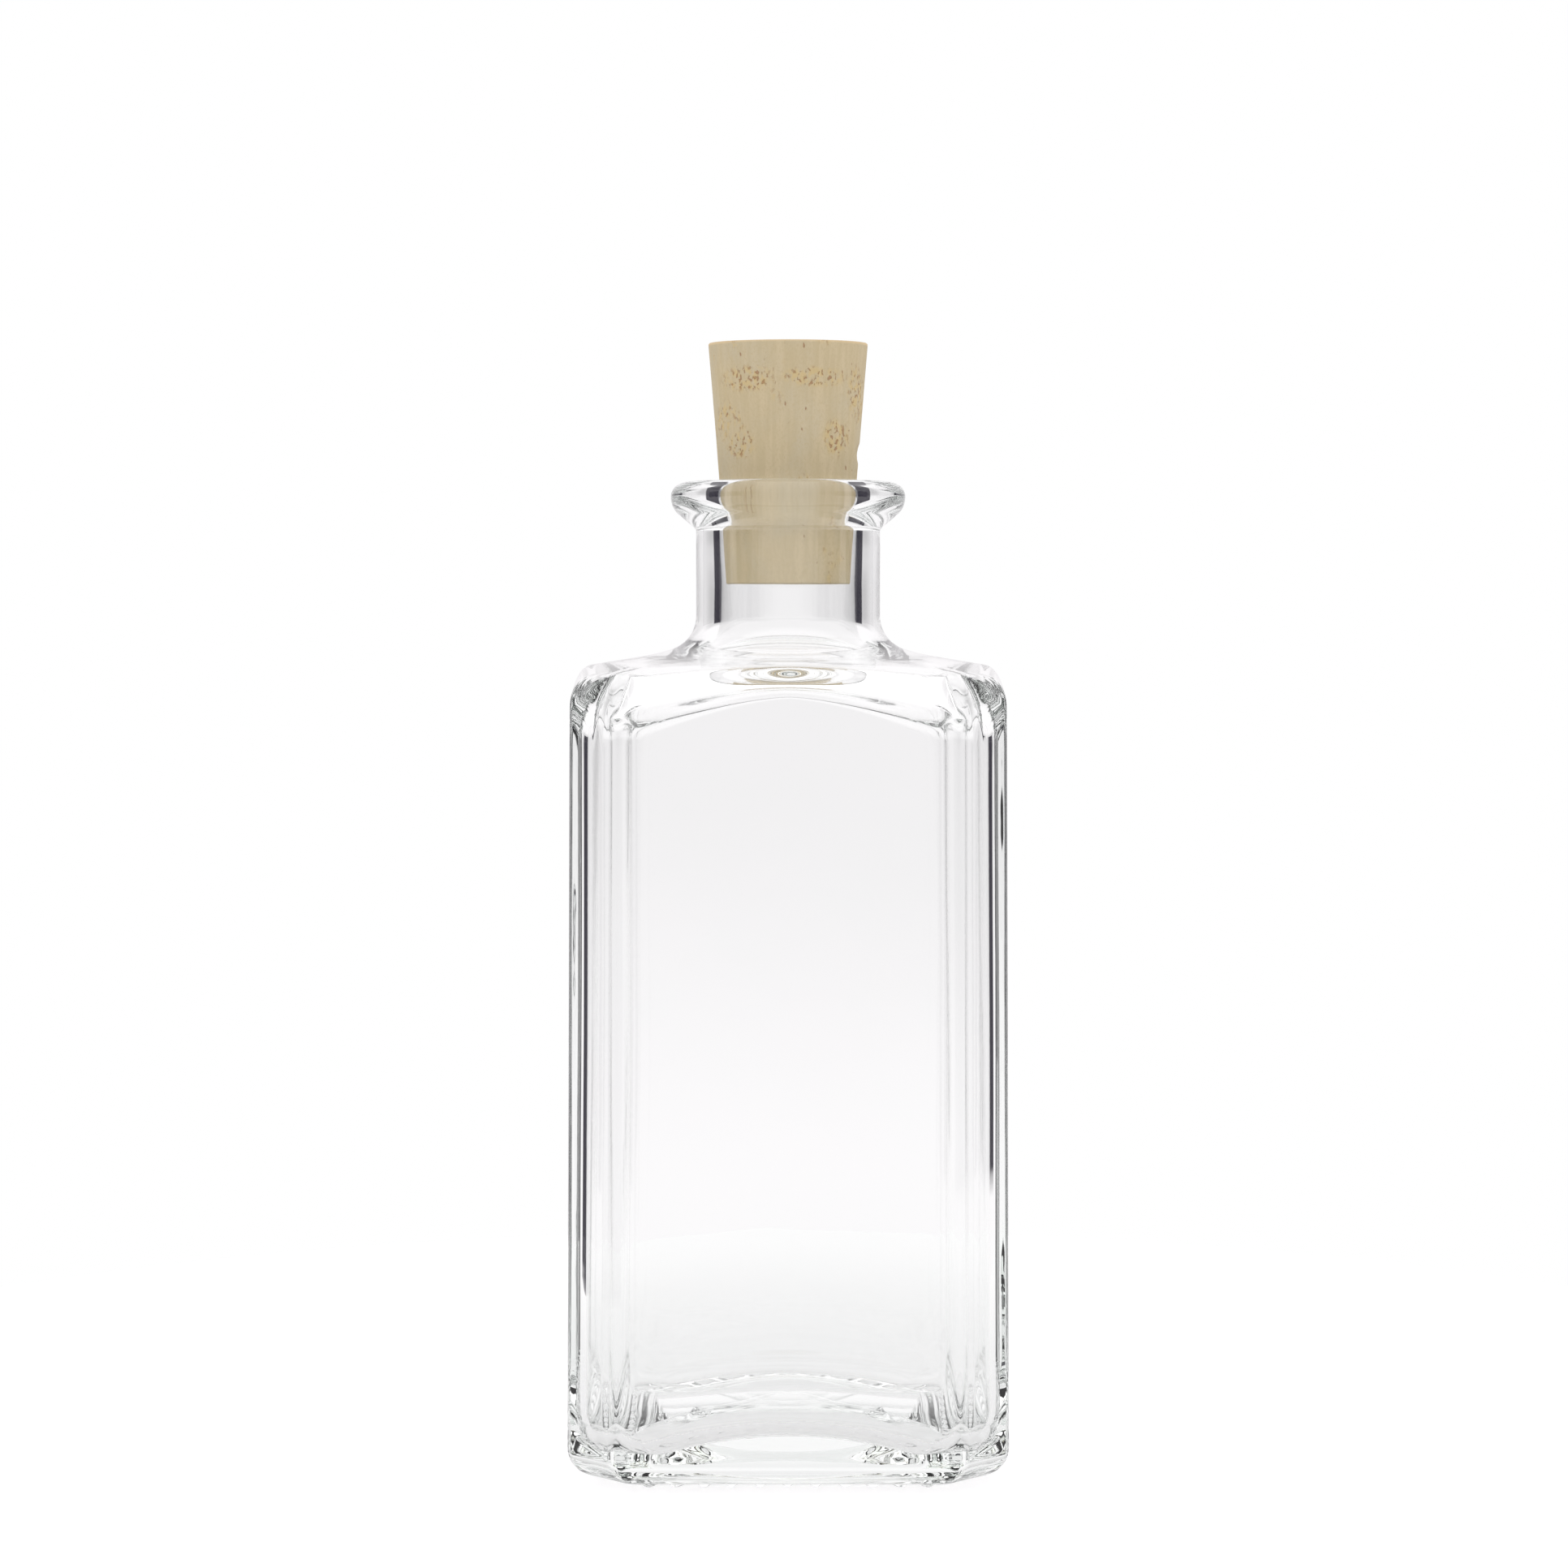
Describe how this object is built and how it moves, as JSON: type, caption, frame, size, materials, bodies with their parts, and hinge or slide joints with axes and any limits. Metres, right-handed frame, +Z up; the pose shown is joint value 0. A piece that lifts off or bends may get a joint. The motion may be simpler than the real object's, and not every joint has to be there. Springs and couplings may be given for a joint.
{
  "type": "square glass bottle with cork",
  "caption": "Clear square glass bottle with chamfered corners, a round neck with a flanged rim and a tapered pull-out cork.",
  "frame": {"origin": "centre of the foot, in the plane that the bottle stands on", "axes": "+Z up along the neck, +X and +Y square to two flat faces, front face towards -Y"},
  "size_m": [0.0524, 0.0524, 0.1368],
  "materials": {
    "clear_glass": "clear, polished, faint green in the thick edges",
    "natural_cork": "matte natural cork with fine grain and pores"
  },
  "bodies": {
    "bottle": {"glass_bottle": "clear_glass"},
    "cork": {"cork_stopper": "natural_cork"}
  },
  "joints": [
    {"name": "cork_pull", "type": "slide", "parent": "bottle", "child": "cork", "axis": [0, 0, 1], "range_m": [0, 0.016]}
  ]
}
